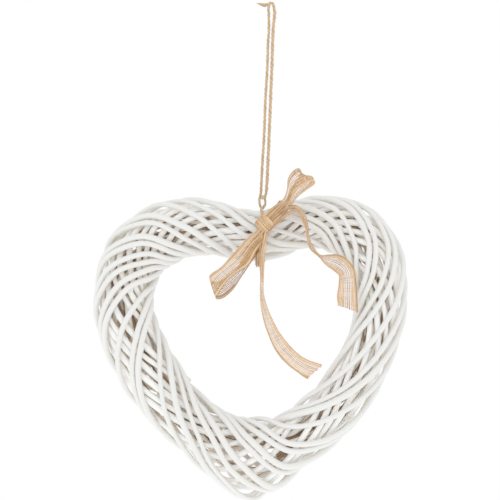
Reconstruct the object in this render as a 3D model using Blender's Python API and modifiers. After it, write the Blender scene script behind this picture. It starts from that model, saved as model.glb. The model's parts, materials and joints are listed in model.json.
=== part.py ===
"""Wicker heart wall decoration: willow rods wound into a heart, with a jute bow and a hanging twine.

Lengths are in metres. X is to the right, Z is up and the front faces -Y. The origin is the place of the
nail, inside the top of the hanging twine, and the middle of the wicker ring lies in the plane y = 0.
"""

import math

import bmesh
import bpy
import numpy as np

MM = 0.001

# The wicker ring, measured outside the rods
HEART_WIDTH = 0.300
HEART_HEIGHT = 0.2905
RING_THICKNESS = 0.0565
RING_DEPTH = 0.050
POINT_STAND_OFF = 0.0240
POINT_REACH = 0.019
TURNING_REACH = 0.020

# How far the middle of the ring at its dip lies below the nail, and how far to the right
HANG_DROP = 0.2208
HANG_SHIFT = -0.0086

# The middle line of the ring, from the dip down the left side, round the point and up the right side, as
# shares of that line's own width and height, and the thickness there as a share of the ring's
MIDDLE_LINE = (
    (0.000, 0.010, 0.90),
    (-0.133, 0.041, 0.88),
    (-0.273, 0.055, 1.04),
    (-0.446, -0.012, 1.12),
    (-0.537, -0.195, 1.06),
    (-0.524, -0.395, 1.06),
    (-0.436, -0.615, 1.05),
    (-0.294, -0.816, 0.99),
    (-0.150, -0.923, 1.03),
    (-0.016, -0.940, 1.05),
    (0.112, -0.910, 1.00),
    (0.243, -0.804, 1.00),
    (0.374, -0.609, 0.94),
    (0.452, -0.389, 0.90),
    (0.467, -0.188, 0.92),
    (0.409, -0.022, 1.04),
    (0.278, 0.072, 1.00),
    (0.137, 0.064, 0.85),
)

# The willow rods, thicker at the butt than at the tip
ROD_DIAMETER = 0.0055
BUTT_SHARE = 1.06
TIP_SHARE = 0.84
SIZE_SPREAD = 0.10
ROD_GAP = 0.00035

# How the rods are wound: on the outside bunches of one or two side by side, each bunch going round the ring
# several times in one lap, under them single rods that cross them, wound the other way, and inside those a
# few bare rods that run along the ring
BUNCHES = (2, 1, 2, 1, 2, 2, 2)
CROSSING_RODS = 11
CORE_RODS = 6
TURNS = 3
CORE_TURNS = 1
BUNCH_PITCH = 15.0
STATIONS = 27
CROSSING_DEPTH = 0.0058
CORE_DEPTH = 0.0120
SLACK = 0.0010
WANDER = 5.0
INNER_WANDER = 12.0
RISE = 0.0012
TUCK_DEPTHS = (0.0070, 0.0060, 0.0030)
START_STEP = 13
SETTLE_STEPS = 200
SEED = 7

# Where the bunches pass the outer edge of the ring, as shares of the way round
LOBES = (
    0.002,
    0.052,
    0.101,
    0.136,
    0.172,
    0.207,
    0.242,
    0.291,
    0.339,
    0.395,
    0.455,
    0.506,
    0.524,
    0.573,
    0.638,
    0.721,
    0.782,
    0.831,
    0.886,
    0.922,
    0.964,
)

# The jute twine
TWINE_DIAMETER = 0.0031
TOUCH_GAP = 0.0003
TWINE_STEP = 0.0084

# The two strands that the heart hangs on, from the top down, as (x, z) in millimetres from the nail
LEFT_STRAND = (
    (-2.2, -2.6),
    (-2.1, -12.0),
    (-2.1, -23.5),
    (-2.9, -34.5),
    (-3.5, -56.0),
    (-5.2, -85.0),
    (-6.4, -117.0),
    (-7.6, -138.0),
    (-8.4, -152.0),
    (-9.0, -164.0),
    (-9.5, -174.5),
)
RIGHT_STRAND = (
    (2.6, 1.0),
    (3.6, -4.0),
    (3.1, -10.0),
    (2.3, -18.0),
    (1.8, -26.0),
    (1.1, -50.0),
    (-0.3, -85.0),
    (-1.7, -120.0),
    (-2.6, -140.0),
    (-3.4, -158.0),
    (-4.1, -170.0),
    (-4.4, -174.5),
)

# The knot above the nail with its loose end pointing left, as (x, z, radius) in millimetres from the nail
TOP_KNOT = (
    (-12.7, 4.4, 0.6),
    (-9.0, 3.4, 1.1),
    (-5.7, 2.8, 1.6),
    (-3.2, 3.4, 2.5),
    (-0.9, 4.3, 2.3),
    (1.0, 4.8, 1.5),
)

# The eye that the strands end in, from the left strand round to the right one, as (x, z) in millimetres
# from the top of the tie, and the small bead of the knot that closes it
TWINE_EYE = (
    (-0.4, 16.4),
    (-1.2, 12.9),
    (-2.0, 9.1),
    (-2.1, 5.3),
    (-1.3, 2.0),
    (0.5, 0.0),
    (2.5, 2.0),
    (3.5, 5.3),
    (3.1, 8.9),
    (3.7, 12.6),
    (4.7, 16.4),
)
EYE_KNOT = (1.8, 10.4)
EYE_KNOT_SIZE = 0.0042

# How far right of the dip the tie under the bow goes round the ring
TIE_SHIFT = -0.0003

# The jute ribbon and the knot of its bow, placed from the middle of the ring at the dip
RIBBON_WIDTH = 0.020
RIBBON_THICKNESS = 0.0014
PLEAT_THICKNESS = 0.0008
KNOT_SIZE = (0.0195, 0.0115, 0.0190)
KNOT_TURN_SHIFT = -0.0006
KNOT_TURN_RISE = 0.0050
KNOT_SHIFT = 0.0029
KNOT_RISE = 0.0095
KNOT_PROUD = 0.010

# The runs of the ribbon, each a list of stations along it: x, y and z of its middle in millimetres from
# the knot, the slope of its width in the front view, how far it is turned edge-on, both in degrees, and
# how far the knot still gathers it
UPPER_LOOP = (
    (0.6, -2.0, 5.0, -43, 0, 0.50),
    (5.0, -3.0, 11.5, -43, -15, 0.56),
    (11.0, -5.0, 16.8, -43, -30, 0.64),
    (18.3, -6.0, 24.4, -48, -60, 0.80),
    (22.8, -7.5, 34.0, -52, -66, 0.95),
    (25.8, -9.0, 42.6, -50, -50, 1.00),
    (32.6, -8.5, 48.8, -45, -32, 1.00),
    (38.4, -5.0, 51.4, -40, -28, 1.00),
    (40.4, 0.0, 48.0, -38, -34, 1.00),
    (34.6, 2.5, 42.2, -40, -46, 1.00),
    (27.0, 3.0, 33.4, -42, -62, 0.95),
    (22.8, 3.0, 25.8, -45, -64, 0.85),
    (15.5, 2.5, 17.0, -45, -52, 0.68),
    (9.0, 2.0, 11.0, -45, -35, 0.55),
    (3.0, 2.6, 6.0, -47, -10, 0.45),
)
LOWER_LOOP = (
    (-1.0, -2.0, -1.0, -46, 3, 0.45),
    (-6.5, -3.0, -7.5, -46, 5, 0.60),
    (-13.4, -5.0, -14.8, -48, 15, 0.75),
    (-22.4, -8.0, -27.2, -41, 22, 0.95),
    (-34.3, -10.0, -38.0, -41, 48, 1.00),
    (-44.6, -9.5, -47.3, -50, 36, 1.00),
    (-49.6, -4.0, -55.2, -72, 16, 1.00),
    (-43.4, 1.0, -57.2, -64, 34, 1.00),
    (-33.6, 4.0, -50.8, -43, 50, 1.00),
    (-24.8, 4.0, -41.6, -40, 61, 0.90),
    (-14.6, 2.5, -26.7, -40, 55, 0.70),
    (-6.0, 1.5, -13.5, -40, 30, 0.55),
    (-1.0, 2.4, -3.0, -44, 5, 0.45),
)
SIDE_TAIL = (
    (1.5, 0.3, 1.5, -50, 4, 0.45),
    (7.5, -1.0, 7.2, -50, 20, 0.52),
    (15.3, -3.0, 13.2, -52, 37, 0.60),
    (24.6, -3.5, 18.6, -75, 55, 0.75),
    (31.0, -3.0, 17.8, -105, 66, 0.80),
    (35.8, -2.5, 10.8, -150, 75, 0.80),
    (39.2, -2.5, 1.0, -165, 80, 0.90),
    (40.4, -2.5, -8.0, -172, 80, 0.95),
    (43.6, -2.0, -17.4, -160, 77, 1.00),
    (51.3, -1.0, -25.3, -130, 83, 1.00),
    (58.8, -0.5, -28.8, -112, 60, 1.00),
    (68.4, 2.0, -32.2, -118, 36, 1.00),
    (76.4, 4.0, -39.6, -150, 36, 1.00),
    (77.8, 6.0, -50.6, -178, 33, 1.00),
    (77.6, 7.0, -63.0, -180, 20, 1.00),
    (78.2, 7.0, -75.4, -200, 14, 1.00),
)
DOWN_TAIL = (
    (-2.0, -1.5, -2.0, 0, 0, 0.45),
    (-2.6, -3.0, -9.0, 0, 30, 0.50),
    (-3.6, -2.5, -19.0, 0, 62, 0.65),
    (-3.1, -1.0, -32.4, 0, 77, 0.80),
    (-2.9, 0.0, -44.8, 0, 81, 0.90),
    (-3.2, 1.0, -59.0, 0, 80, 1.00),
    (-1.5, 2.0, -71.5, 10, 74, 1.00),
    (2.1, 3.0, -83.8, 16, 67, 1.00),
    (7.6, 3.0, -97.3, 22, 59, 1.00),
    (15.3, 2.0, -110.9, 34, 48, 1.00),
    (25.9, 0.0, -122.6, 50, 44, 1.00),
    (36.7, -2.0, -130.0, 54, 38, 1.00),
    (47.4, -4.0, -134.6, 42, 14, 1.00),
)

# The band of ribbon round the ring, from under the knot down round the back and over the top into the
# knot again: the angle round the ring in degrees from the front, up positive, and in millimetres how far
# right of the dip its middle is, half its width and how far it stands off the rods
BAND = (
    (14, 1.0, 4.0, 9.5),
    (-8, -2.0, 3.4, 5.5),
    (-20, -4.6, 2.6, 4.3),
    (-30, -4.8, 2.3, 1.5),
    (-50, -4.3, 2.1, 0.3),
    (-100, -4.1, 2.0, 0.2),
    (-106, -4.1, 2.0, 2.5),
    (-112, -4.1, 2.0, 4.3),
    (-150, 1.5, 6.0, 4.3),
    (-175, 5.5, 8.0, 4.3),
    (-200, 9.5, 8.0, 4.3),
    (-215, 11.5, 7.0, 2.0),
    (-230, 13.5, 6.0, 0.4),
    (-255, 17.5, 2.8, 0.4),
    (-272, 18.5, 1.6, 0.4),
    (-290, 16.0, 1.6, 0.6),
    (-310, 12.0, 1.8, 3.0),
    (-325, 8.5, 3.0, 8.0),
    (-336, 5.0, 4.0, 12.0),
)
BAND_STEP = 14.0


def clear_scene():
    for item in list(bpy.data.objects):
        bpy.data.objects.remove(item, do_unlink=True)


def new_collection(name):
    collection = bpy.data.collections.new(name)
    bpy.context.scene.collection.children.link(collection)
    return collection


def new_material(name, colour, roughness):
    material = bpy.data.materials.new(name)
    material.use_nodes = True
    shader = material.node_tree.nodes["Principled BSDF"]
    shader.inputs["Base Color"].default_value = (*colour, 1.0)
    shader.inputs["Roughness"].default_value = roughness
    shader.inputs["Metallic"].default_value = 0.0
    material.diffuse_color = (*colour, 1.0)
    return material


def curve_weights(share):
    """The weights of four neighbouring points on a smooth curve through the middle two."""
    return (
        -0.5 * share + share**2 - 0.5 * share**3,
        1.0 - 2.5 * share**2 + 1.5 * share**3,
        0.5 * share + 2.0 * share**2 - 1.5 * share**3,
        -0.5 * share**2 + 0.5 * share**3,
    )


def smooth_line(points, steps, closed=False):
    """A smooth curve through the points, with that many steps from each point to the next."""
    points = np.array(points, float)
    if closed:
        before = np.roll(points, 1, axis=0)
        after = np.roll(points, -1, axis=0)
        beyond = np.roll(points, -2, axis=0)
        here = points
    else:
        padded = np.vstack([2 * points[0] - points[1], points, 2 * points[-1] - points[-2]])
        before, here, after, beyond = padded[:-3], padded[1:-2], padded[2:-1], padded[3:]
    rows = []
    for share in np.arange(steps) / steps:
        weights = curve_weights(share)
        rows.append(weights[0] * before + weights[1] * here + weights[2] * after + weights[3] * beyond)
    line = np.stack(rows, axis=1).reshape(-1, points.shape[1])
    end = points[:1] if closed else points[-1:]
    return np.vstack([line, end])


def even_line(line, spacing):
    """The same curve with its points evenly spaced, about the spacing apart."""
    steps = np.linalg.norm(np.diff(line, axis=0), axis=1)
    along = np.concatenate([[0.0], np.cumsum(steps)])
    count = max(2, round(along[-1] / spacing) + 1)
    places = np.linspace(0.0, along[-1], count)
    return np.stack([np.interp(places, along, column) for column in line.T], axis=1)


class Ring:
    """The middle line of the wicker ring and the tube that the rods are wound round it."""

    def __init__(self):
        width = HEART_WIDTH - RING_THICKNESS
        height = HEART_HEIGHT - RING_THICKNESS - POINT_STAND_OFF
        line = smooth_line(MIDDLE_LINE, 24, closed=True)
        self.line = line[:, :2] * (width, height) + (HANG_SHIFT, -HANG_DROP)
        self.fullness = line[:, 2]
        steps = np.linalg.norm(np.diff(self.line, axis=0), axis=1)
        self.along = np.concatenate([[0.0], np.cumsum(steps)])
        self.length = self.along[-1]
        self.point = self.along[np.argmin(self.line[:, 1])] / self.length

    def middle(self, share):
        along = np.mod(share, 1.0) * self.length
        across = np.interp(along, self.along, self.line[:, 0])
        up = np.interp(along, self.along, self.line[:, 1])
        return np.stack([across, np.zeros_like(across), up], axis=-1)

    def outward(self, share):
        reach = TURNING_REACH
        ahead = self.middle(share + reach) - self.middle(share - reach)
        ahead /= np.linalg.norm(ahead, axis=-1, keepdims=True)
        return np.stack([ahead[..., 2], ahead[..., 1], -ahead[..., 0]], axis=-1)

    def half_thickness(self, share, outside):
        """From the middle line to the ring's outer or inner edge in the front view: on the outside the rods
        stand off where they turn the point."""
        fullness = np.interp(np.mod(share, 1.0) * self.length, self.along, self.fullness)
        away = (np.mod(share - self.point + 0.5, 1.0) - 0.5) * self.length
        stand_off = POINT_STAND_OFF * np.exp(-0.5 * (away / POINT_REACH) ** 2)
        return RING_THICKNESS / 2 * fullness + np.where(outside, stand_off, 0.0)

    def surface(self, share, angle, stand_off):
        """A point off the plain surface of the ring, the angle going from its front to its outer edge."""
        share = np.asarray(share, float)
        stand_off = np.asarray(stand_off, float)
        place = self.middle(share)
        sideways = (self.half_thickness(share, np.sin(angle) > 0.0) + stand_off) * np.sin(angle)
        place = place + self.outward(share) * sideways[..., None]
        place[..., 1] = place[..., 1] - (RING_DEPTH / 2 + stand_off) * np.cos(angle)
        return place


def winding(share):
    """How far round the ring's tube, in degrees, a rod has gone at that share of the lap."""
    laps = (-1, 0, 1, 2, 3)
    places = np.array([lobe + lap for lap in laps for lobe in LOBES])
    numbers = np.arange(len(places)) - len(LOBES)
    shifts = np.linspace(-0.03, 0.03, 7)
    even = sum(np.interp(share + shift, places, numbers) for shift in shifts) / len(shifts)
    return 90.0 + even * TURNS * 360.0 / len(LOBES)


def rod_plan():
    """Each rod's layer, its angle where the lap starts, and a share of the lap where it has a station: for
    the outer rods where they pass the outer edge about the point."""
    plan = []
    for number, size in enumerate(BUNCHES):
        for place in range(size):
            beside = (place - (size - 1) / 2) * BUNCH_PITCH
            plan.append(("outer", -number * 360.0 / len(BUNCHES) - beside, LOBES[len(BUNCHES) + number]))
    for layer, count in (("crossing", CROSSING_RODS), ("core", CORE_RODS)):
        plan += [(layer, number * 360.0 / count, number / count) for number in range(count)]
    return plan


def rod_turn(layer, share, angle):
    """How far round the ring's tube a rod of that layer has gone, in degrees."""
    if layer == "outer":
        return angle + winding(share)
    if layer == "crossing":
        return angle - winding(share)
    return angle + CORE_TURNS * 360.0 * share


def wound_rod(ring, number, layer, angle, station, chance):
    """The stations of one rod as it is wound, before its neighbours push it: its points and radii."""
    count = STATIONS + 2
    first = number * START_STEP % STATIONS + station * STATIONS % 1.0
    while math.cos(math.radians(rod_turn(layer, first / STATIONS, angle))) > -0.5:
        first += 1
    share = (first + np.arange(count)) / STATIONS
    wander = WANDER if layer == "outer" else INNER_WANDER
    turned = rod_turn(layer, share, angle)
    turned = turned + wander * np.sin(2 * np.pi * (chance.integers(1, 4) * share + chance.random()))
    rise = RISE * np.sin(2 * np.pi * (chance.integers(2, 6) * share + chance.random()))
    size = ROD_DIAMETER * (1.0 + SIZE_SPREAD * math.sin(2.4 * number))
    radii = size / 2 * np.linspace(BUTT_SHARE, TIP_SHARE, count)
    layer_depth = {"outer": 0.0, "crossing": CROSSING_DEPTH, "core": CORE_DEPTH}[layer]
    depth = np.full(count, SLACK + layer_depth)
    if layer == "outer":
        depth[: len(TUCK_DEPTHS)] += TUCK_DEPTHS
    points = ring.surface(share, np.radians(turned), rise - depth - radii)
    return share, points, radii


def closest_shares(start_a, end_a, start_b, end_b):
    """How far along each of two straight pieces the place is where they come closest."""
    along_a, along_b, between = end_a - start_a, end_b - start_b, start_a - start_b
    aa = (along_a * along_a).sum(-1)
    bb = (along_b * along_b).sum(-1)
    ab = (along_a * along_b).sum(-1)
    ac = (along_a * between).sum(-1)
    bc = (along_b * between).sum(-1)
    spread = np.maximum(aa * bb - ab * ab, 1e-12 * aa * bb)
    on_a = np.clip((ab * bc - bb * ac) / spread, 0.0, 1.0)
    on_b = np.clip((ab * on_a + bc) / bb, 0.0, 1.0)
    on_a = np.clip((ab * on_b - ac) / aa, 0.0, 1.0)
    return on_a[:, None], on_b[:, None]


def neighbours(rods, rod_of, place_of):
    """The pairs of straight pieces that lie near each other, leaving out a rod's own neighbouring ones."""
    starts, ends = rods[rod_of, place_of], rods[rod_of, place_of + 1]
    middles = (starts + ends) / 2
    halves = np.linalg.norm(ends - starts, axis=1) / 2
    gaps = np.linalg.norm(middles[:, None] - middles[None], axis=-1) - halves[:, None] - halves[None]
    own = (rod_of[:, None] == rod_of[None]) & (np.abs(place_of[:, None] - place_of[None]) < 4)
    return np.nonzero(np.triu((gaps < 3 * ROD_DIAMETER) & ~own, 1))


def settled_rods(ring):
    """Winds the rods and pushes them off one another until they lie side by side or one over another."""
    chance = np.random.default_rng(SEED)
    wound = [wound_rod(ring, number, *row, chance) for number, row in enumerate(rod_plan())]
    shares = np.array([rod[0] for rod in wound])
    planned = np.array([rod[1] for rod in wound])
    radii = np.array([rod[2] for rod in wound])
    rods = planned.copy()
    middles = ring.middle(shares)
    outward = ring.outward(shares)
    reach_out = ring.half_thickness(shares, True) - radii
    reach_in = ring.half_thickness(shares, False) - radii
    reach_front = RING_DEPTH / 2 - radii
    rod_of, place_of = (grid.ravel() for grid in np.indices((len(rods), rods.shape[1] - 1)))
    for step in range(SETTLE_STEPS):
        if step % 20 == 0:
            first, second = neighbours(rods, rod_of, place_of)
            rod_a, at_a = rod_of[first], place_of[first]
            rod_b, at_b = rod_of[second], place_of[second]
            room = (radii[rod_a, at_a] + radii[rod_b, at_b] + ROD_GAP)[:, None]
        start_a, end_a = rods[rod_a, at_a], rods[rod_a, at_a + 1]
        start_b, end_b = rods[rod_b, at_b], rods[rod_b, at_b + 1]
        on_a, on_b = closest_shares(start_a, end_a, start_b, end_b)
        apart = start_a + (end_a - start_a) * on_a - start_b - (end_b - start_b) * on_b
        distance = np.maximum(np.linalg.norm(apart, axis=1, keepdims=True), 1e-9)
        push = apart / distance * np.maximum(room - distance, 0.0) * 0.45
        np.add.at(rods, (rod_a, at_a), push * (1 - on_a))
        np.add.at(rods, (rod_a, at_a + 1), push * on_a)
        np.add.at(rods, (rod_b, at_b), -push * (1 - on_b))
        np.add.at(rods, (rod_b, at_b + 1), -push * on_b)
        if step < 0.8 * SETTLE_STEPS:
            moved = rods - planned
            moved[:, 1:-1] += 0.3 * ((moved[:, :-2] + moved[:, 2:]) / 2 - moved[:, 1:-1]) / 2
            rods = planned + moved
        offset = rods - middles
        sideways = (offset * outward).sum(-1)
        reach = np.where(sideways > 0.0, reach_out, reach_in)
        over = np.maximum(np.hypot(sideways / reach, offset[..., 1] / reach_front), 1.0)[..., None]
        sideways = outward * sideways[..., None]
        front = offset * (0, 1, 0)
        rods = middles + (offset - sideways - front) + (sideways + front) / over
    return rods, radii


def rod_samples(rods, radii, spacing=0.0012):
    """Points close together along the rods where they pass the dip, with the rod's radius at each."""
    lines = [even_line(np.column_stack([rod, radius]), spacing) for rod, radius in zip(rods, radii)]
    samples = np.vstack(lines)
    return samples[samples[:, 2] > -HANG_DROP - RING_THICKNESS]


def round_the_rods(samples, angle, across, half_width, stand_off):
    """Where something wound round the ring at the dip lies, facing the angle, at that distance to the
    right of the nail: the rod that stands out farthest within its width holds it off."""
    facing = np.array((0.0, -math.cos(angle), math.sin(angle)))
    middle = np.array((across, 0.0, -HANG_DROP))
    beside = np.maximum(np.abs(samples[:, 0] - across) - half_width, 0.0)
    room = (samples[:, 3] + stand_off) ** 2 - beside**2
    near = room > 0.0
    reach = (samples[near, :3] - middle) @ facing + np.sqrt(room[near])
    return middle + facing * reach.max()


def tube(name, points, radii, sides, material, collection, closed=False):
    """A curve object through the points: a rod or a twine as a round tube with that many sides."""
    curve = bpy.data.curves.new(name, "CURVE")
    curve.dimensions = "3D"
    curve.bevel_depth = 1.0
    curve.bevel_resolution = sides // 2 - 2
    curve.render_resolution_u = 0
    curve.use_fill_caps = not closed
    spline = curve.splines.new("POLY")
    spline.points.add(len(points) - 1)
    for point, place, radius in zip(spline.points, points, radii):
        point.co = (*place, 1.0)
        point.radius = radius
    spline.use_cyclic_u = closed
    curve.materials.append(material)
    item = bpy.data.objects.new(name, curve)
    collection.objects.link(item)
    return item


def make_rods(rods, radii, collection):
    painted = new_material("white_painted_willow", (0.86, 0.86, 0.84), 0.62)
    sheltered = new_material("sheltered_painted_willow", (0.90, 0.89, 0.86), 0.62)
    bare = new_material("bare_willow", (0.36, 0.25, 0.17), 0.75)
    finishes = {"outer": (painted, 6), "crossing": (sheltered, 4), "core": (bare, 4)}
    for number, (layer, _, _) in enumerate(rod_plan()):
        material, sides = finishes[layer]
        tube(f"willow_rod_{number + 1:02d}", rods[number], radii[number], sides, material, collection)


def as_mesh(item):
    """Swaps a curve object for a mesh one, closed at its caps."""
    bpy.context.view_layer.update()
    source = item.evaluated_get(bpy.context.evaluated_depsgraph_get())
    mesh = bpy.data.meshes.new_from_object(source)
    work = bmesh.new()
    work.from_mesh(mesh)
    bmesh.ops.remove_doubles(work, verts=work.verts, dist=1e-6)
    bmesh.ops.recalc_face_normals(work, faces=work.faces)
    work.to_mesh(mesh)
    work.free()
    name = item.name
    collection = item.users_collection[0]
    place = item.matrix_world.copy()
    bpy.data.objects.remove(item, do_unlink=True)
    solid = bpy.data.objects.new(name, mesh)
    solid.matrix_world = place
    collection.objects.link(solid)
    return solid


def join(body, others, cutters):
    """Joins the other solids to the body by Boolean unions and moves them to the cutters' collection."""
    for other in others:
        for collection in list(other.users_collection):
            collection.objects.unlink(other)
        cutters.objects.link(other)
        other.hide_render = True
        other.display_type = "WIRE"
        union = body.modifiers.new(f"with_{other.name}", "BOOLEAN")
        union.operation = "UNION"
        union.solver = "EXACT"
        union.object = other


def ball(name, place, size, segments, rings, material, collection):
    mesh = bpy.data.meshes.new(name)
    work = bmesh.new()
    bmesh.ops.create_uvsphere(work, u_segments=segments, v_segments=rings, radius=0.5)
    bmesh.ops.scale(work, vec=size, verts=work.verts)
    work.to_mesh(mesh)
    work.free()
    mesh.materials.append(material)
    item = bpy.data.objects.new(name, mesh)
    item.location = place
    collection.objects.link(item)
    return item


def make_twine(samples, collection, cutters):
    jute = new_material("jute_twine", (0.62, 0.43, 0.26), 0.9)
    radius = TWINE_DIAMETER / 2
    for name, strand in (("hanging_twine_left", LEFT_STRAND), ("hanging_twine_right", RIGHT_STRAND)):
        line = even_line(smooth_line(np.array(strand) * MM, 8), TWINE_STEP)
        points = [(x, 0.0, z) for x, z in line]
        tube(name, points, [radius] * len(points), 8, jute, collection)
    knot = smooth_line(np.array(TOP_KNOT) * MM, 2)
    tube("twine_top_knot", [(x, 0.0, z) for x, z, _ in knot], knot[:, 2], 8, jute, collection)

    corner_gap = TWINE_STEP**2 / (4 * RING_DEPTH)
    count = 4 * round(math.pi * RING_THICKNESS / TWINE_STEP / 4)
    loop = []
    for angle in np.linspace(0.0, 2 * math.pi, count, endpoint=False):
        stand_off = TOUCH_GAP + corner_gap + radius
        loop.append(round_the_rods(samples, angle, HANG_SHIFT + TIE_SHIFT, radius, stand_off))
    top = loop[count // 4]
    tie = as_mesh(tube("twine_tie", loop, [radius] * len(loop), 8, jute, collection, closed=True))
    arms = even_line(smooth_line(np.array(TWINE_EYE) * MM, 6), TWINE_STEP / 2)
    points = [(top[0] + x, 0.0, top[2] + z) for x, z in arms]
    eye = as_mesh(tube("twine_eye", points, [0.8 * radius] * len(points), 8, jute, collection))
    place = (top[0] + EYE_KNOT[0] * MM, 0.0, top[2] + EYE_KNOT[1] * MM)
    size = (EYE_KNOT_SIZE, EYE_KNOT_SIZE, EYE_KNOT_SIZE)
    bead = ball("twine_eye_knot", place, size, 8, 5, jute, collection)
    join(tie, [eye, bead], cutters)


def ribbon_run(name, stations, knot, steps, material, collection):
    """One run of ribbon through its stations. Its pleats make it thicker where it is gathered."""
    rows, thicknesses = [], []
    for x, y, z, slope, turn, gather in smooth_line(stations, steps):
        middle = np.array(knot) + np.array((x, y, z)) * MM
        slope, turn = math.radians(slope), math.radians(turn)
        across = (math.cos(slope) * math.cos(turn), -math.sin(turn), math.sin(slope) * math.cos(turn))
        half = np.array(across) * RIBBON_WIDTH / 2 * gather
        rows.append((middle - half, middle + half))
        thicknesses.append(RIBBON_THICKNESS + PLEAT_THICKNESS * math.sqrt(1.0 - min(gather, 1.0) ** 2))
    return strip(name, rows, thicknesses, material, collection)


def strip(name, rows, thicknesses, material, collection):
    """An open strip, thickened by a Solidify modifier with each row's own thickness."""
    mesh = bpy.data.meshes.new(name)
    work = bmesh.new()
    verts = [[work.verts.new(tuple(corner)) for corner in row] for row in rows]
    for low, high in zip(verts, verts[1:]):
        work.faces.new((low[0], low[1], high[1], high[0]))
    work.to_mesh(mesh)
    work.free()
    mesh.materials.append(material)
    item = bpy.data.objects.new(name, mesh)
    collection.objects.link(item)
    shares = item.vertex_groups.new(name="share_of_thickness")
    for number, thickness in enumerate(thicknesses):
        shares.add((2 * number, 2 * number + 1), thickness / max(thicknesses), "REPLACE")
    thick = item.modifiers.new("thickness", "SOLIDIFY")
    thick.thickness = max(thicknesses)
    thick.vertex_group = shares.name
    thick.offset = 0.0
    thick.use_even_offset = True
    return item


def make_ribbon(samples, collection, cutters):
    jute = new_material("jute_ribbon", (0.66, 0.46, 0.28), 0.9)
    knot = (
        HANG_SHIFT + KNOT_SHIFT,
        -RING_DEPTH / 2 - KNOT_PROUD,
        -HANG_DROP + KNOT_RISE,
    )
    turn = (knot[0] + KNOT_TURN_SHIFT, knot[1], knot[2] + KNOT_TURN_RISE)
    bow = ball("jute_ribbon_bow", turn, KNOT_SIZE, 12, 7, jute, collection)
    runs = [
        ribbon_run("upper_loop", UPPER_LOOP, knot, 2, jute, collection),
        ribbon_run("lower_loop", LOWER_LOOP, knot, 2, jute, collection),
        ribbon_run("side_tail", SIDE_TAIL, knot, 1, jute, collection),
        ribbon_run("down_tail", DOWN_TAIL, knot, 1, jute, collection),
    ]
    clear = TOUCH_GAP + RIBBON_THICKNESS / 2
    plan = np.array(BAND)[::-1]
    rows = []
    for angle in np.linspace(BAND[0][0], BAND[-1][0], round((BAND[0][0] - BAND[-1][0]) / BAND_STEP) + 1):
        shift, half, stand_off = (np.interp(angle, plan[:, 0], column) * MM for column in plan.T[1:])
        place = round_the_rods(samples, math.radians(angle), HANG_SHIFT + shift, half, clear + stand_off)
        half_width = np.array((half, 0.0, 0.0))
        rows.append((place - half_width, place + half_width))
    runs.append(strip("band", rows, [RIBBON_THICKNESS] * len(rows), jute, collection))
    join(bow, runs, cutters)


def main():
    clear_scene()
    heart = new_collection("wicker_heart")
    cutters = new_collection("joined_pieces")
    rods, radii = settled_rods(Ring())
    samples = rod_samples(rods, radii)
    make_rods(rods, radii, heart)
    make_twine(samples, heart, cutters)
    make_ribbon(samples, heart, cutters)


main()
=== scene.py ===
# %% [markdown]
# A wicker heart to hang on a wall. Willow rods are wound round and round each other into a thick heart-shaped
# ring and sprayed white, a jute ribbon is tied round the dip in a loose bow, and the whole hangs from a nail
# on two strands of jute twine.
#
# The construction is already modelled and packed, as a frame of plain solids in metres, with the nail at the
# origin, Z up and the front facing -Y. This script dresses it: every plain solid gives way to a finer piece
# of the same size in the same place. We start by loading the frame and keeping its box, so that at the end we
# can print how far the finished heart reaches past it.

# %% Load the imported heart
import json
import math

import bpy
import numpy as np
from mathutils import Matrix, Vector
from mathutils.bvhtree import BVHTree
from mathutils.kdtree import KDTree


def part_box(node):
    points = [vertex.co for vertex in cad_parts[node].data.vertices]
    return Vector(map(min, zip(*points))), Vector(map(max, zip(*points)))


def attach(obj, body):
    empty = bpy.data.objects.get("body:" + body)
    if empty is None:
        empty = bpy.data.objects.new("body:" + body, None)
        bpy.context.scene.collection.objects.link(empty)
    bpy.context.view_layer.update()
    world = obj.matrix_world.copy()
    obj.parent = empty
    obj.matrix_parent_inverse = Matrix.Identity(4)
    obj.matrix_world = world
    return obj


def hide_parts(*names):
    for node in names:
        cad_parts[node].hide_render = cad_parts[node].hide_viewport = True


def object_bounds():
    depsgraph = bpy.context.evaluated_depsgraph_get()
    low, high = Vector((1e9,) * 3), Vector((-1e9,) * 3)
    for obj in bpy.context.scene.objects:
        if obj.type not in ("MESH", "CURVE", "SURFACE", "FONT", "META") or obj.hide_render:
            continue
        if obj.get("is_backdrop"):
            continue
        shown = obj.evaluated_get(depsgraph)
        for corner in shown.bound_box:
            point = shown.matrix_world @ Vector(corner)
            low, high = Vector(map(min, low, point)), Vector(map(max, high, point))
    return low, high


MM = 0.001
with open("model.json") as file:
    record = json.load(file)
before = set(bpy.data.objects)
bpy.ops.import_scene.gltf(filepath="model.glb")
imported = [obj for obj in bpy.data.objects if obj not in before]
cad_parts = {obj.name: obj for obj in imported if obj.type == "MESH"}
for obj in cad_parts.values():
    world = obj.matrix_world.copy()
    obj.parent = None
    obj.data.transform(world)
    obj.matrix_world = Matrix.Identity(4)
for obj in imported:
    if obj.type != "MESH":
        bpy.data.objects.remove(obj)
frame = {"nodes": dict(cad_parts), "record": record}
frame_box = [list(corner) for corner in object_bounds()]
chance = np.random.default_rng(11)
print("nodes in the frame:", len(frame["nodes"]))

# %% [markdown]
# The photograph is taken straight on, from far enough away that the ring shows hardly any perspective. A
# long lens three metres off does the same. The picture is 500 pixels wide and high, and a pixel is 0.954 mm
# at the heart, which comes from its width of 300 mm across 314 pixels. The nail is at pixel (271, 8).

# %% Place the camera
PICTURE_SIZE = 500
PIXEL = 0.300 / 314.4
NAIL_PIXEL = (271, 8)
CAMERA_DISTANCE = 3.0
SENSOR = 36.0

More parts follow.
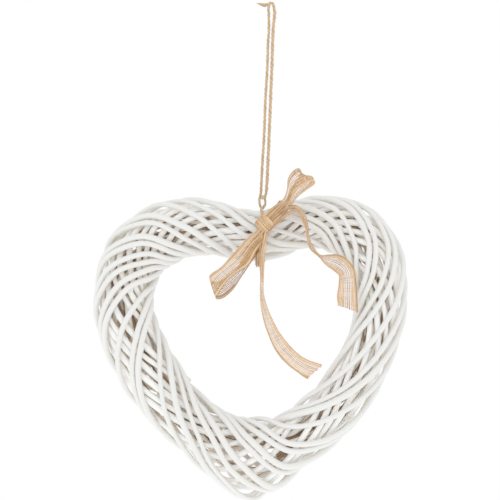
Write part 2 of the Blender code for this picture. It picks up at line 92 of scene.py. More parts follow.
camera = bpy.data.objects.new("camera", bpy.data.cameras.new("camera"))
bpy.context.scene.collection.objects.link(camera)
across = (PICTURE_SIZE / 2 - NAIL_PIXEL[0]) * PIXEL
up = (NAIL_PIXEL[1] - PICTURE_SIZE / 2) * PIXEL
camera.location = (across, -CAMERA_DISTANCE, up)
camera.rotation_euler = (math.pi / 2, 0.0, 0.0)
camera.data.sensor_width = SENSOR
camera.data.lens = SENSOR * CAMERA_DISTANCE / (PICTURE_SIZE * PIXEL)
bpy.context.scene.camera = camera
print("camera at", [round(value, 3) for value in camera.location], "lens", round(camera.data.lens, 1))

# %% [markdown]
# Nearly everything here is a long thin thing: a rod, a ply of twine, a thread of the ribbon. Each is a tube
# along a line of points. We could use Blender's curves with a bevel, but a mesh lets us swell a rod at its
# buds, flatten a thread, and keep at each corner where it lies on the rod, which the materials need. So one
# helper makes smooth lines, another spaces their points evenly, and a third finds, at each point, the two
# directions that span the tube's section.

# %% Lines and the directions across them
def smooth_line(points, steps):
    """A smooth curve through the points, with that many steps from each point to the next."""
    points = np.array(points, float)
    padded = np.vstack([2 * points[0] - points[1], points, 2 * points[-1] - points[-2]])
    before, here, after, beyond = padded[:-3], padded[1:-2], padded[2:-1], padded[3:]
    rows = []
    for share in np.arange(steps) / steps:
        rows.append(
            (-0.5 * share + share**2 - 0.5 * share**3) * before
            + (1.0 - 2.5 * share**2 + 1.5 * share**3) * here
            + (0.5 * share + 2.0 * share**2 - 1.5 * share**3) * after
            + (-0.5 * share**2 + 0.5 * share**3) * beyond
        )
    return np.vstack([np.stack(rows, axis=1).reshape(-1, points.shape[1]), points[-1:]])


def lengths(line):
    """How far along the line each of its points is."""
    steps = np.linalg.norm(np.diff(line[:, :3], axis=0), axis=1)
    return np.concatenate([[0.0], np.cumsum(steps)])


def even_line(line, spacing):
    """The same curve with its points evenly spaced, about the spacing apart."""
    along = lengths(line)
    places = np.linspace(0.0, along[-1], max(3, round(along[-1] / spacing) + 1))
    return np.stack([np.interp(places, along, column) for column in line.T], axis=1)


def unit(vectors):
    return vectors / np.maximum(np.linalg.norm(vectors, axis=-1, keepdims=True), 1e-12)


def section_directions(line, facing=None):
    """Two unit directions across the line at each point. The second one is the facing, where it is given,
    and otherwise it turns with the line as little as it can."""
    ahead = unit(np.gradient(line, axis=0))
    if facing is None:
        facing = np.zeros_like(line)
        start = np.eye(3)[np.argmin(np.abs(ahead[0]))]
        for number, direction in enumerate(ahead):
            start = unit(start - direction * (start @ direction))
            facing[number] = start
    side = unit(np.cross(ahead, facing))
    return side, np.cross(side, ahead)


test_line = even_line(smooth_line([(0, 0, 0), (0, 0, 1), (1, 0, 1)], 8), 0.1)
print("a smooth corner has", len(test_line), "points and is", round(lengths(test_line)[-1], 3), "long")

# %% [markdown]
# A piece such as the ribbon holds some nine hundred threads, so tubes are gathered as arrays and become one
# mesh at the end. Each corner also keeps its `grain`: where it lies round the tube and along it. Noise read
# there, and not in the room, runs with the fibres however the tube bends and shows no seam. `tone` is one
# number for each tube, so that neighbours differ a little in colour, as real rods and threads do.

# %% Gather tubes into one piece
GRAIN_SHIFT = 7.0


def angles_round(sides):
    return np.arange(sides) * 2 * math.pi / sides


def tube_corners(line, side, front, wide, high, angles):
    """The corners of a tube, a ring of them for each point of its line."""
    return (
        line[:, None]
        + side[:, None] * (wide * np.cos(angles))[..., None]
        + front[:, None] * (high * np.sin(angles))[..., None]
    )


def tube_rings(first, rings, sides):
    """The numbers of a tube's corners, ring by ring from the first, and the quads between its rings."""
    ring = first + np.arange(rings * sides).reshape(rings, sides)
    after = np.roll(ring, -1, axis=1)
    return ring, np.stack([ring[:-1], ring[1:], after[1:], after[:-1]], axis=-1).reshape(-1, 4)


class Bundle:
    """Tubes that become one mesh object."""

    def __init__(self, name):
        self.name = name
        self.count = 0
        self.points, self.quads, self.caps, self.values = [], [], [], []

    def add(self, line, width, height=None, sides=8, facing=None, tone=None, extra=None):
        """A tube along the line. Width and height are half its section, for each point or all of them,
        or a grid of its radius at each corner."""
        height = width if height is None else height
        side, front = section_directions(line, facing)
        angles = angles_round(sides)
        wide, high = (
            np.broadcast_to(np.reshape(half, np.shape(half) + (1,) * (2 - np.ndim(half))), (len(line), sides))
            for half in (width, height)
        )
        corners = tube_corners(line, side, front, wide, high, angles)
        tone = chance.random() if tone is None else tone
        far = np.broadcast_to(lengths(line)[:, None], wide.shape)
        grain = np.stack([wide * np.cos(angles), high * np.sin(angles), far + tone * GRAIN_SHIFT], axis=-1)
        extra = np.zeros(wide.shape) if extra is None else extra
        self.points.append(corners.reshape(-1, 3))
        self.values.append(np.column_stack([grain.reshape(-1, 3), np.full(wide.size, tone), extra.ravel()]))
        ring, quads = tube_rings(self.count, len(line), sides)
        self.quads.append(quads)
        self.caps += [ring[0].tolist(), ring[-1][::-1].tolist()]
        self.count += len(line) * sides

    def finish(self, material):
        """The object, smooth shaded, riding on the heart."""
        mesh = bpy.data.meshes.new(self.name)
        values = np.vstack(self.values)
        mesh.from_pydata(np.vstack(self.points), [], np.vstack(self.quads).tolist() + self.caps)
        grain = mesh.attributes.new("grain", "FLOAT_VECTOR", "POINT")
        grain.data.foreach_set("vector", values[:, :3].ravel())
        mesh.attributes.new("tone", "FLOAT", "POINT").data.foreach_set("value", values[:, 3])
        mesh.attributes.new("open", "FLOAT", "POINT").data.foreach_set("value", values[:, 4])
        round_faces = len(mesh.polygons) - len(self.caps)
        mesh.polygons.foreach_set("use_smooth", [True] * round_faces + [False] * len(self.caps))
        mesh.materials.append(material)
        mesh.update()
        piece = bpy.data.objects.new(self.name, mesh)
        bpy.context.scene.collection.objects.link(piece)
        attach(piece, "root")
        return piece


print("a bundle starts with", Bundle("test").count, "corners")

# %% [markdown]
# Materials are sums on numbers that change over the surface, such as noise. Written node by node they are
# hard to read, so a small class wraps a node's output and turns `+`, `-` and `*` into Math nodes. Everything
# else comes from one method, `node`, which takes the node's type, its settings and its sockets.

# %% Write materials as sums
class Number:
    """A value that changes over a surface. A sum on it adds a Math node to its material."""

    def __init__(self, finish, socket):
        self.finish = finish
        self.socket = socket

    def math(self, operation, first, second):
        return self.finish.node("ShaderNodeMath", {"operation": operation}, {0: first, 1: second})

    def __add__(self, other):
        return self.math("ADD", self, other)

    def __sub__(self, other):
        return self.math("SUBTRACT", self, other)

    def __rsub__(self, other):
        return self.math("SUBTRACT", other, self)

    def __mul__(self, other):
        return self.math("MULTIPLY", self, other)

    __radd__ = __add__
    __rmul__ = __mul__

    def from_to(self, low, high):
        """Nought below low, one above high, and a smooth step between them."""
        settings = {"interpolation_type": "SMOOTHSTEP"}
        values = {"Value": self, "From Min": low, "From Max": high}
        return self.finish.node("ShaderNodeMapRange", settings, values)


class Finish:
    """A material whose Principled shader takes constants at once and changing values through nodes."""

    def __init__(self, name, **constants):
        self.material = bpy.data.materials.new(name)
        self.material.use_nodes = True
        self.nodes = self.material.node_tree.nodes
        self.links = self.material.node_tree.links
        self.shader = self.nodes["Principled BSDF"]
        for socket, value in constants.items():
            self.shader.inputs[socket.replace("_", " ")].default_value = value

    def node(self, kind, settings=None, sockets=None, output=0):
        node = self.nodes.new(kind)
        for name, value in (settings or {}).items():
            setattr(node, name, value)
        for key, value in (sockets or {}).items():
            self.feed(node.inputs[key], value)
        return Number(self, node.outputs[output])

    def feed(self, socket, value):
        if isinstance(value, Number):
            self.links.new(value.socket, socket)
        else:
            socket.default_value = value

    def attribute(self, name, output="Fac"):
        return self.node("ShaderNodeAttribute", {"attribute_name": name}, output=output)

    def stretched(self, vector, scale):
        return self.node("ShaderNodeVectorMath", {"operation": "MULTIPLY"}, {0: vector, 1: scale})

    def noise(self, vector, scale, detail=2.0, roughness=0.5):
        sockets = {"Vector": vector, "Scale": scale, "Detail": detail, "Roughness": roughness}
        return self.node("ShaderNodeTexNoise", None, sockets)

    def mix(self, share, first, second):
        """The first colour where the share is nought and the second where it is one."""
        return self.node("ShaderNodeMix", {"data_type": "RGBA"}, {0: share, 6: first, 7: second}, output=2)

    def bump(self, height, distance, strength=1.0):
        sockets = {"Height": height, "Distance": distance, "Strength": strength}
        return self.node("ShaderNodeBump", None, sockets, output="Normal")

    def surface(self, **values):
        for socket, value in values.items():
            self.feed(self.shader.inputs[socket.replace("_", " ")], value)
        return self.material


print("a finish starts with", len(Finish("test").nodes), "nodes")

# %% [markdown]
# Jute twine is three plies of brown fibre twisted together. Up close each ply is itself a bundle of fine
# fibres that run round it on a slant, some of them paler or darker, and it is quite matt. The colour comes
# from streaks read along the grain, and the relief from finer ones.

# %% The finish of the twine
JUTE_DARK = (0.22, 0.11, 0.038, 1.0)
JUTE_MIDDLE = (0.54, 0.345, 0.175, 1.0)
JUTE_PALE = (0.74, 0.55, 0.36, 1.0)
FIBRE_SCALE = (2600.0, 2600.0, 420.0)
JUTE_PATCH_SCALE = (160.0, 160.0, 95.0)


def jute_finish(name, dark, middle, pale, streak=1.0, thread=0.4):
    """A matt fibre finish: pale and dark streaks along the grain, with fine ridges. Thread says how much
    one thread differs from the next."""
    finish = Finish(name, Roughness=0.88, Specular_IOR_Level=0.25)
    grain = finish.attribute("grain", "Vector")
    tone = finish.attribute("tone")
    fibres = finish.noise(finish.stretched(grain, FIBRE_SCALE), streak, 3.0, 0.6)
    patches = finish.noise(finish.stretched(grain, JUTE_PATCH_SCALE), streak, 2.0)
    shade = fibres * 0.7 + patches * 0.6 + (tone - 0.5) * thread + 0.2
    colour = finish.mix(shade.from_to(0.42, 0.86), dark, middle)
    colour = finish.mix(shade.from_to(0.84, 1.25), colour, pale)
    return finish.surface(Base_Color=colour, Normal=finish.bump(fibres, 0.00012, 0.8))


twine_material = jute_finish("jute_twine_fibres", JUTE_DARK, JUTE_MIDDLE, JUTE_PALE)
print("twine finish:", twine_material.name)

# %% [markdown]
# The two strands that the heart hangs on. Each is a free cord: it starts at the eye above the bow and runs up
# to the knot over the nail. The routes are the same points as in the construction. Each strand is three plies
# that wind round its middle line. A few loose fibres stand off it, as they do on any cheap twine.

# %% Twist the plies of the hanging strands
TWINE_DIAMETER = 3.1 * MM
PLIES = 3
PLY_RADIUS = 0.70 * MM
PLY_OFFSET = 0.84 * MM
PLY_PITCH = 12.4 * MM
PLY_STEP = 0.9 * MM
FUZZ_PER_METRE = 520
LEFT_STRAND = (
    (-2.2, -2.6),
    (-2.1, -12.0),
    (-2.1, -23.5),
    (-2.9, -34.5),
    (-3.5, -56.0),
    (-5.2, -85.0),
    (-6.4, -117.0),
    (-7.6, -138.0),
    (-8.4, -152.0),
    (-9.0, -164.0),
    (-9.5, -174.5),
)
RIGHT_STRAND = (
    (2.6, 1.0),
    (3.6, -4.0),
    (3.1, -10.0),
    (2.3, -18.0),
    (1.8, -26.0),
    (1.1, -50.0),
    (-0.3, -85.0),
    (-1.7, -120.0),
    (-2.6, -140.0),
    (-3.4, -158.0),
    (-4.1, -170.0),
    (-4.4, -174.5),
)


def add_plies(bundle, line, start=0.0, size=1.0, fuzz=FUZZ_PER_METRE):
    """Three plies twisted round the line, with loose fibres."""
    side, front = section_directions(line)
    along = lengths(line)
    wander = 0.10 * np.sin(along * 410.0 + start) + 0.07 * np.sin(along * 973.0 + 2 * start)
    for ply in range(PLIES):
        turn = start + 2 * math.pi * (ply / PLIES + along / (PLY_PITCH * size)) + wander * 2.5
        offset = PLY_OFFSET * size * (1.0 + wander)
        place = line + side * (offset * np.cos(turn))[:, None] + front * (offset * np.sin(turn))[:, None]
        thick = PLY_RADIUS * size * (1.0 + 0.10 * np.sin(along * 640.0 + 3 * start + ply))
        bundle.add(place, thick, sides=10, tone=0.35 + 0.3 * chance.random())
    for _ in range(int(along[-1] * fuzz)):
        add_loose_fibre(bundle, line, side, front, size)


def add_loose_fibre(bundle, line, side, front, size):
    """One fibre that leaves the twine on a slant and ends in the air."""
    root = chance.integers(2, len(line) - 3)
    turn = chance.random() * 2 * math.pi
    out = side[root] * math.cos(turn) + front[root] * math.sin(turn)
    ahead = unit(line[root + 1] - line[root]) * chance.choice((-1.0, 1.0))
    sideways = np.cross(out, ahead) * (chance.random() - 0.5)
    reach = (0.8 + 1.8 * chance.random()) * MM
    base = line[root] + out * (PLY_OFFSET + 0.6 * PLY_RADIUS) * size
    lean = 0.35 + 0.5 * chance.random()
    stops = [base, base + (ahead + out * lean * 0.4 + sideways * 0.5) * reach * 0.5]
    stops.append(base + (ahead + out * lean + sideways) * reach)
    bundle.add(smooth_line(stops, 2), np.linspace(0.075, 0.03, 5) * MM, sides=3, tone=0.8)


def make_strand(name, node, points, start, size):
    """One hanging strand, from the eye up to the knot."""
    flat = np.array(points, float)[::-1] * MM
    line = even_line(smooth_line(np.column_stack([flat[:, 0], np.zeros(len(flat)), flat[:, 1]]), 8), PLY_STEP)
    bundle = Bundle(name)
    add_plies(bundle, line, start, size)
    strand = bundle.finish(twine_material)
    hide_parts(node)


# %% [markdown]
# Over the nail the two strands meet in a small overhand knot, and the loose end of the twine sticks out to
# the left, untwisted into a leaf of fibres. The knot is two short coils of ply at the crossing, and the leaf
# is a bundle of fine tubes that spread out and come together again at its tip.

# %% Tie the top knot and make the strands
KNOT_MIDDLE = (-1.2, 0.0, 4.0)
LEAF_TIP = (-12.9, 0.0, 4.4)
LEAF_WIDEST = (-6.4, 0.0, 2.7)
LEAF_ROOT = (-2.4, 0.0, 3.6)
LEAF_SPREAD = 1.75
LEAF_FIBRES = 44
KNOT_PLY_RADIUS = 0.72 * MM
BRIDGE = (
    (-2.2, 0.0, -2.6),
    (-2.3, 0.1, 0.6),
    (-1.6, 0.3, 3.2),
    (-0.2, 0.2, 4.7),
    (1.2, 0.0, 4.6),
    (2.4, 0.0, 2.9),
    (2.6, 0.0, 1.0),
)
KNOT_COILS = (((-0.6, 0.0, 4.4), (1.0, 0.1, -0.1), 1.15, 1.9), ((-2.2, 0.0, 3.5), (0.8, 0.1, 0.7), 1.3, 1.6))


def knot_turns(middle, axis, radius, turns, rise, steps=16):
    """A short coil of ply round an axis, all in millimetres."""
    axis = unit(np.array(axis, float))
    side = unit(np.cross(axis, (0.0, 1.0, 0.2)))
    front = np.cross(axis, side)
    angle = np.linspace(0.0, turns * 2 * math.pi, int(turns * steps))
    lift = np.linspace(-rise / 2, rise / 2, len(angle))
    ring = side * np.cos(angle)[:, None] + front * np.sin(angle)[:, None]
    return (np.array(middle) + ring * radius + axis * lift[:, None]) * MM


def make_top_knot():
    bundle = Bundle("twine_knot_over_the_nail")
    add_plies(bundle, even_line(smooth_line(np.array(BRIDGE) * MM, 6), PLY_STEP), 1.3, fuzz=300)
    for middle, axis, radius, turns in KNOT_COILS:
        bundle.add(knot_turns(middle, axis, radius, turns, 1.3), KNOT_PLY_RADIUS, sides=8, tone=0.6)
    for number in range(LEAF_FIBRES):
        spread = LEAF_SPREAD * (2 * number / (LEAF_FIBRES - 1) - 1)
        depth = (chance.random() - 0.5) * 1.6
        tip = np.array(LEAF_TIP) + (chance.random(3) - 0.5) * (1.9, 0.4, 0.5)
        root = np.array(LEAF_ROOT) + (0.0, depth * 0.5, spread * 0.5)
        widest = np.array(LEAF_WIDEST) + (chance.random() - 0.5, depth, spread)
        near_tip = 0.35 * widest + 0.65 * tip + (0.0, 0.0, spread * 0.18)
        line = smooth_line([root, widest, near_tip, tip], 5) * MM
        bundle.add(line, np.linspace(0.32, 0.12, len(line)) * MM, sides=5)
    knot = bundle.finish(twine_material)
    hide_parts("twine_top_knot")
    return knot


top_knot = make_top_knot()
make_strand("hanging_strand_left", "hanging_twine_left", LEFT_STRAND, 0.4, 0.95)
make_strand("hanging_strand_right", "hanging_twine_right", RIGHT_STRAND, 2.1, 1.10)

# %% [markdown]
# Now the wicker. The frame's rods are plain many-sided tubes with a ring of corners every few centimetres.
# The middle of each ring and its radius is all we need from them: short edges join the corners of one ring,
# and long ones run from ring to ring, so following the long edges puts the rings in order.

# %% Read the rods from the frame
SHORTEST_STEP = 6 * MM


def rod_stations(node):
    """The middle and radius of each ring of corners along a rod of the frame, from butt to tip."""
    mesh = frame["nodes"][node].data
    corners = np.array([vertex.co for vertex in mesh.vertices])
    places, same = np.unique(np.round(corners, 6), axis=0, return_inverse=True)
    edges = same.ravel()[np.array([edge.vertices for edge in mesh.edges])]
    short = np.linalg.norm(places[edges[:, 0]] - places[edges[:, 1]], axis=1) < SHORTEST_STEP
    ring_of = np.arange(len(places))
    for _ in range(8):
        for first, second in edges[short]:
            ring_of[first] = ring_of[second] = min(ring_of[first], ring_of[second])
    next_to = {ring: set() for ring in set(ring_of)}
    for first, second in ring_of[edges[~short]]:
        next_to[first].add(second)
        next_to[second].add(first)
    ring = next(name for name, others in next_to.items() if len(others) == 1)
    order = []
    while ring is not None:
        order.append(ring)
        ring = next((other for other in next_to[ring] if other not in order), None)
    middles = np.array([places[ring_of == name].mean(axis=0) for name in order])
    reaches = [places[ring_of == name] - middle for name, middle in zip(order, middles)]
    radii = [np.linalg.norm(reach, axis=1).mean() for reach in reaches]
    rod = np.column_stack([middles, radii])
    return rod if radii[1] > radii[-2] else rod[::-1]


rod_nodes = sorted(name for name in frame["nodes"] if name.startswith("willow_rod"))
stations = np.array([rod_stations(name) for name in rod_nodes])
print(len(rod_nodes), "rods of", stations.shape[1], "stations, radius from", stations[..., 3].min().round(5))

# %% [markdown]
# A smooth curve through a rod's stations swings out a millimetre or more between them, so rods that just
# touched now cross. Real rods push one another aside. We do the same: find every pair of short pieces that
# are closer than their two radii, move them apart, let each rod share out its bending, and repeat.

# %% Bend the rods smoothly and push them off one another
ROD_GAP = 0.15 * MM
SETTLE_STEPS = 90
STEPS_PER_STATION = 4


def closest_shares(start_a, end_a, start_b, end_b):
    """How far along each of two straight pieces the place is where they come closest."""
    along_a, along_b, between = end_a - start_a, end_b - start_b, start_a - start_b
    aa = (along_a * along_a).sum(-1)
    bb = (along_b * along_b).sum(-1)
    ab = (along_a * along_b).sum(-1)
    ac = (along_a * between).sum(-1)
    bc = (along_b * between).sum(-1)
    spread = np.maximum(aa * bb - ab * ab, 1e-12 * aa * bb)
    on_a = np.clip((ab * bc - bb * ac) / spread, 0.0, 1.0)
    on_b = np.clip((ab * on_a + bc) / bb, 0.0, 1.0)
    on_a = np.clip((ab * on_b - ac) / aa, 0.0, 1.0)
    return on_a[:, None], on_b[:, None]


def near_pairs(rods):
    """The pairs of short pieces that lie near each other, as rod and place along it for both."""
    count = rods.shape[1] - 1
    middles = ((rods[:, :-1, :3] + rods[:, 1:, :3]) / 2).reshape(-1, 3)
    reach = np.linalg.norm(np.diff(rods[..., :3], axis=1), axis=2).max() + 7 * MM
    tree = KDTree(len(middles))
    for number, middle in enumerate(middles):
        tree.insert(middle, number)
    tree.balance()
    pairs = []
    for number, middle in enumerate(middles):
        for _, other, _ in tree.find_range(middle, reach):
            if other > number and (other // count != number // count or other - number > 3):
                pairs.append((number, other))
    pairs = np.array(pairs)
    return pairs[:, 0] // count, pairs[:, 0] % count, pairs[:, 1] // count, pairs[:, 1] % count


def settle(rods, steps):
    """Pushes the rods apart, and evens out along each rod how far it has been pushed."""
    planned = rods[..., :3].copy()
    radii = rods[..., 3]
    places = planned.copy()
    for step in range(steps):
        if step % 30 == 0:
            rod_a, at_a, rod_b, at_b = near_pairs(np.dstack([places, radii]))
            room = (radii[rod_a, at_a] + radii[rod_b, at_b] + ROD_GAP)[:, None]
        start_a, end_a = places[rod_a, at_a], places[rod_a, at_a + 1]
        start_b, end_b = places[rod_b, at_b], places[rod_b, at_b + 1]
        on_a, on_b = closest_shares(start_a, end_a, start_b, end_b)
        apart = start_a + (end_a - start_a) * on_a - start_b - (end_b - start_b) * on_b
        distance = np.maximum(np.linalg.norm(apart, axis=1, keepdims=True), 1e-9)
        push = apart / distance * np.maximum(room - distance, 0.0) * 0.4
        np.add.at(places, (rod_a, at_a), push * (1 - on_a))
        np.add.at(places, (rod_a, at_a + 1), push * on_a)
        np.add.at(places, (rod_b, at_b), -push * (1 - on_b))
        np.add.at(places, (rod_b, at_b + 1), -push * on_b)
        if step < 0.8 * steps:
            moved = places - planned
            moved[:, 1:-1] += 0.35 * ((moved[:, :-2] + moved[:, 2:]) / 2 - moved[:, 1:-1])
            places = planned + moved
    print("deepest crossing left:", round(float((room - distance).max()) * 1000, 2), "mm")
    return np.dstack([places, radii])


rods = settle(np.array([smooth_line(rod, STEPS_PER_STATION) for rod in stations]), SETTLE_STEPS)
rods = [smooth_line(rod, 2) for rod in rods]

# %% [markdown]
# A willow rod tapers, is not quite round, and has a bud every few centimetres, on one side and then on the
# other, where it swells and bends a little. Its ends are cut on a slant. The taper, the ovalness and the
# swelling at the buds are real shape, and they show along the edges of the rods, so they go into the mesh.
# Here the rods don't bend at their buds, and their ends are cut square.

# %% Give the rods their shape
ROD_SIDES = 12
ROD_STEP = 2.3 * MM
BUD_SPACING = 36 * MM
BUD_HEIGHT = 0.42 * MM
BUD_LENGTH = 2.4 * MM
BUD_SWELL = 0.10 * MM
OVALNESS = 0.035


def rod_surface(rod):
    """The rod's middle line with even steps, and its radius at each corner of each ring."""
    rod = even_line(rod, ROD_STEP)
    along = lengths(rod)
    angles = angles_round(ROD_SIDES)
    radii = rod[:, 3:] * (1.0 + OVALNESS * np.cos(2 * (angles - along[:, None] * 9.0 + chance.random() * 3)))
    radii *= 1.0 + 0.015 * np.sin(along[:, None] * 130.0 + chance.random() * 6)
    place = BUD_SPACING * chance.random()
    facing = chance.random() * 2 * math.pi
    while place < along[-1]:
        near = np.exp(-0.5 * ((along[:, None] - place) / BUD_LENGTH) ** 2)
        turned = np.mod(angles - facing + math.pi, 2 * math.pi) - math.pi
        radii += near * (BUD_SWELL + BUD_HEIGHT * np.exp(-0.5 * (turned / 0.55) ** 2))
        place += BUD_SPACING * (0.75 + 0.5 * chance.random())
        facing += math.pi * (0.8 + 0.4 * chance.random())
    return rod[:, :3], radii


surfaces = [rod_surface(rod) for rod in rods]
print("corners on the rods:", sum(radii.size for _, radii in surfaces))

# %% [markdown]
# The heart is sprayed white after it is wound. Paint reaches every side of a rod that faces out, and hardly
# any of the sides that face into the ring or lie against a neighbour, where the brown bark shows. To know
# which is which, we look out from points all over the rods in many directions and count how many of those
# looks leave the wicker. That share is kept at each corner as `open`. The paint's edge follows it, and so
# does the paint's cream tint, which is partly painted shade.

# %% Measure how open each place on the rods is
LOOKS = 32
LOOK_REACH = 0.12
OPEN_RINGS = 4
OPEN_SIDES = 6


def looks_round(normal):
    """Directions spread over the half of space that the normal points to, most of them near it."""
    number = np.arange(LOOKS) + 0.5
    away = np.sqrt(number / LOOKS)
    turn = number * math.pi * (3.0 - math.sqrt(5.0))
    side = unit(np.cross(normal, np.eye(3)[np.argmin(np.abs(normal))]))
    front = np.cross(normal, side)
    across = side * (away * np.cos(turn))[:, None] + front * (away * np.sin(turn))[:, None]
    return across + normal * np.sqrt(1.0 - away**2)[:, None]


def wicker_tree(surfaces):
    """The rods' surfaces, ready to be looked through."""
    points, faces, count = [], [], 0
    for line, radii in surfaces:
        side, front = section_directions(line[::2])
        size = radii[::2].mean(axis=1)[:, None]
        corners = tube_corners(line[::2], side, front, size, size, angles_round(OPEN_SIDES))
        ring, quads = tube_rings(count, len(side), OPEN_SIDES)
        points.append(corners.reshape(-1, 3))
        faces.append(quads)
        count += ring.size
    return BVHTree.FromPolygons(np.vstack(points).tolist(), np.vstack(faces).tolist())


def openness(surface, tree):
    """The share of looks that leave the wicker, at each corner of each ring of one rod."""
    line, radii = surface
    side, front = section_directions(line)
    angles = angles_round(OPEN_SIDES)
    rings = np.arange(0, len(line), OPEN_RINGS)
    coarse = np.zeros((len(rings), OPEN_SIDES))
    for row, ring in enumerate(rings):
        for column, angle in enumerate(angles):
            normal = side[ring] * math.cos(angle) + front[ring] * math.sin(angle)
            start = Vector(line[ring] + normal * (radii[ring].mean() + 0.4 * MM))
            looks = [Vector(look) for look in looks_round(normal)]
            free = sum(tree.ray_cast(start, look, LOOK_REACH)[0] is None for look in looks)
            coarse[row, column] = free / LOOKS
    fine = np.zeros(radii.shape)
    for column in range(ROD_SIDES):
        place = column * OPEN_SIDES / ROD_SIDES
        low = int(place) % OPEN_SIDES
        high = (low + 1) % OPEN_SIDES
        values = coarse[:, low] + (coarse[:, high] - coarse[:, low]) * (place - int(place))
        fine[:, column] = np.interp(np.arange(len(line)), rings, values)
    return fine


tree = wicker_tree(surfaces)
open_shares = [openness(surface, tree) for surface in surfaces]
mean_share = float(np.mean([shares.mean() for shares in open_shares]))
print("a rod is open over", round(mean_share, 2), "of its looks")

# %% [markdown]
# Spray paint on willow is matt and thin. It is nearly pure white on top and turns creamier where less of it
# landed, and then breaks up into bare bark, which is a dull reddish brown with darker streaks along the rod.
# The cream is partly that thinner paint and partly painted shade: it follows how closed in a place is, and
# stands in for the warm dim light between the rods. The outer rods' paint is also mixed toward grey. That is
# painted shade on the rods that take the most light, so that the sheltered rods look nearly as bright. The
# bark's fine ridges show through the paint as faint relief.

# %% The finish of the rods
PAINT_WHITE = (0.905, 0.91, 0.89, 1.0)
PAINT_WARM = (0.905, 0.893, 0.85, 1.0)
# A grey that the paint is mixed toward as painted shade.
PAINT_GREY_SHADE = (0.67, 0.67, 0.64, 1.0)
# A cream that is partly thin paint and partly painted shade in the gaps between rods.
PAINT_THIN_AND_SHADE_CREAM = (0.87, 0.775, 0.635, 1.0)
BARK_PALE = (0.48, 0.315, 0.205, 1.0)
BARK_DARK = (0.19, 0.105, 0.06, 1.0)
RIDGE_SCALE = (900.0, 900.0, 38.0)
BLOTCH_SCALE = (260.0, 260.0, 70.0)
PAINT_PATCH_SCALE = (170.0, 170.0, 55.0)


def willow_finish(name, bare_below, painted_above, grey_shade=0.0, patchy=0.1):
    """Bark where a rod is less open than the first share, and full paint where it is more than the second.
    Between them the paint turns cream, which is partly thin paint and partly painted shade, the warm dimness
    in the gaps between rods. The larger the grey shade share, the more the paint is mixed toward grey, which
    is painted shade, and the patchier it is, the more its edge wanders."""
    finish = Finish(name, Specular_IOR_Level=0.3)
    grain = finish.attribute("grain", "Vector")
    tone = finish.attribute("tone")
    open_share = finish.attribute("open")
    ridges = finish.noise(finish.stretched(grain, RIDGE_SCALE), 1.0, 3.0, 0.6)
    blotches = finish.noise(finish.stretched(grain, BLOTCH_SCALE), 1.0, 2.0)
    bark = finish.mix((ridges * 0.6 + blotches * 0.6).from_to(0.35, 0.85), BARK_DARK, BARK_PALE)
    patches = finish.noise(finish.stretched(grain, PAINT_PATCH_SCALE), 1.0, 2.0)
    reached = open_share + (patches - 0.5) * patchy + (ridges - 0.5) * 0.05
    white = finish.mix((tone * 0.8 + blotches * 0.5).from_to(0.35, 0.95), PAINT_WHITE, PAINT_WARM)
    # Painted shade: the paint is mixed toward grey by the grey shade share, most on the outer rods, which
    # take the most light.
    white = finish.mix(grey_shade, white, PAINT_GREY_SHADE)
    # The cream between bark and full paint is partly thin paint and partly painted shade, the warm dimness
    # between the rods.
    thin_paint_and_shade = finish.mix(reached.from_to(bare_below + 0.03, painted_above), PAINT_THIN_AND_SHADE_CREAM, white)
    colour = finish.mix(reached.from_to(bare_below, bare_below + 0.05), bark, thin_paint_and_shade)
    rough = 0.55 + ridges * 0.25
    return finish.surface(Base_Color=colour, Roughness=rough, Normal=finish.bump(ridges, 0.00010, 0.7))


willow_finishes = {
    # Painted shade: the outer rods' paint is greyed by a share of 0.62, because they take the most light, and
    # the core rods' paint by 0.2. The sheltered rods' paint stays white.
    "painted_willow": willow_finish("outer_willow_rod_paint_greyed_as_shade", -0.05, 0.37, 0.62),
    "sheltered_willow": willow_finish("sheltered_willow_rod_paint_kept_white", 0.0, 0.35),
    "bare_willow": willow_finish("bare_willow_rod", 0.11, 0.36, 0.2, 0.8),
}
print("rod finishes:", list(willow_finishes))

# %% [markdown]
# Each rod is a piece of its own, in place of its plain solid in the frame.

# %% Make the rods
slots = {item["node"]: item["material_slot"] for item in frame["record"]["subparts"]}


def make_rod(number, surface, shares):
    line, radii = surface
    bundle = Bundle(f"willow_{number + 1:02d}")
    bundle.add(line, radii, sides=ROD_SIDES, extra=shares)
    slot = slots[rod_nodes[number]]
    rod = bundle.finish(willow_finishes[slot])
    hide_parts(rod_nodes[number])
    return rod


willow = [make_rod(number, *pair) for number, pair in enumerate(zip(surfaces, open_shares))]
print("made", len(willow), "rods")

# %% [markdown]
# The twine is bound tight round the wicker at the dip, under the bow. A tight string lies on the rods that
# stand out farthest and runs straight between them. So at each angle round the ring we first find how far
# out the rods hold something off, and then pull the loop taut: a point that lies inside the straight line
# between its neighbours moves out to it.

# %% Find where something bound round the dip lies
RING_THICKNESS = 56.5 * MM
HANG_DROP = 220.8 * MM
HANG_SHIFT = -8.6 * MM


def samples_at_the_dip():
    """Points close together along the rods near the dip, each with the rod's radius there."""
    lines = [even_line(rod, 1.2 * MM) for rod in rods]
    points = np.vstack(lines)
    return points[points[:, 2] > -HANG_DROP - RING_THICKNESS]


def round_the_rods(angle, across, half_width, stand_off):
    """Where something wound round the ring lies, facing the angle, at that distance right of the nail."""
    facing = np.array((0.0, -math.cos(angle), math.sin(angle)))
    middle = np.array((across, 0.0, -HANG_DROP))
    beside = np.maximum(np.abs(dip_samples[:, 0] - across) - half_width, 0.0)
    room = (dip_samples[:, 3] + stand_off) ** 2 - beside**2
    near = room > 0.0
    reach = (dip_samples[near, :3] - middle) @ facing + np.sqrt(room[near])
    return middle + facing * reach.max()


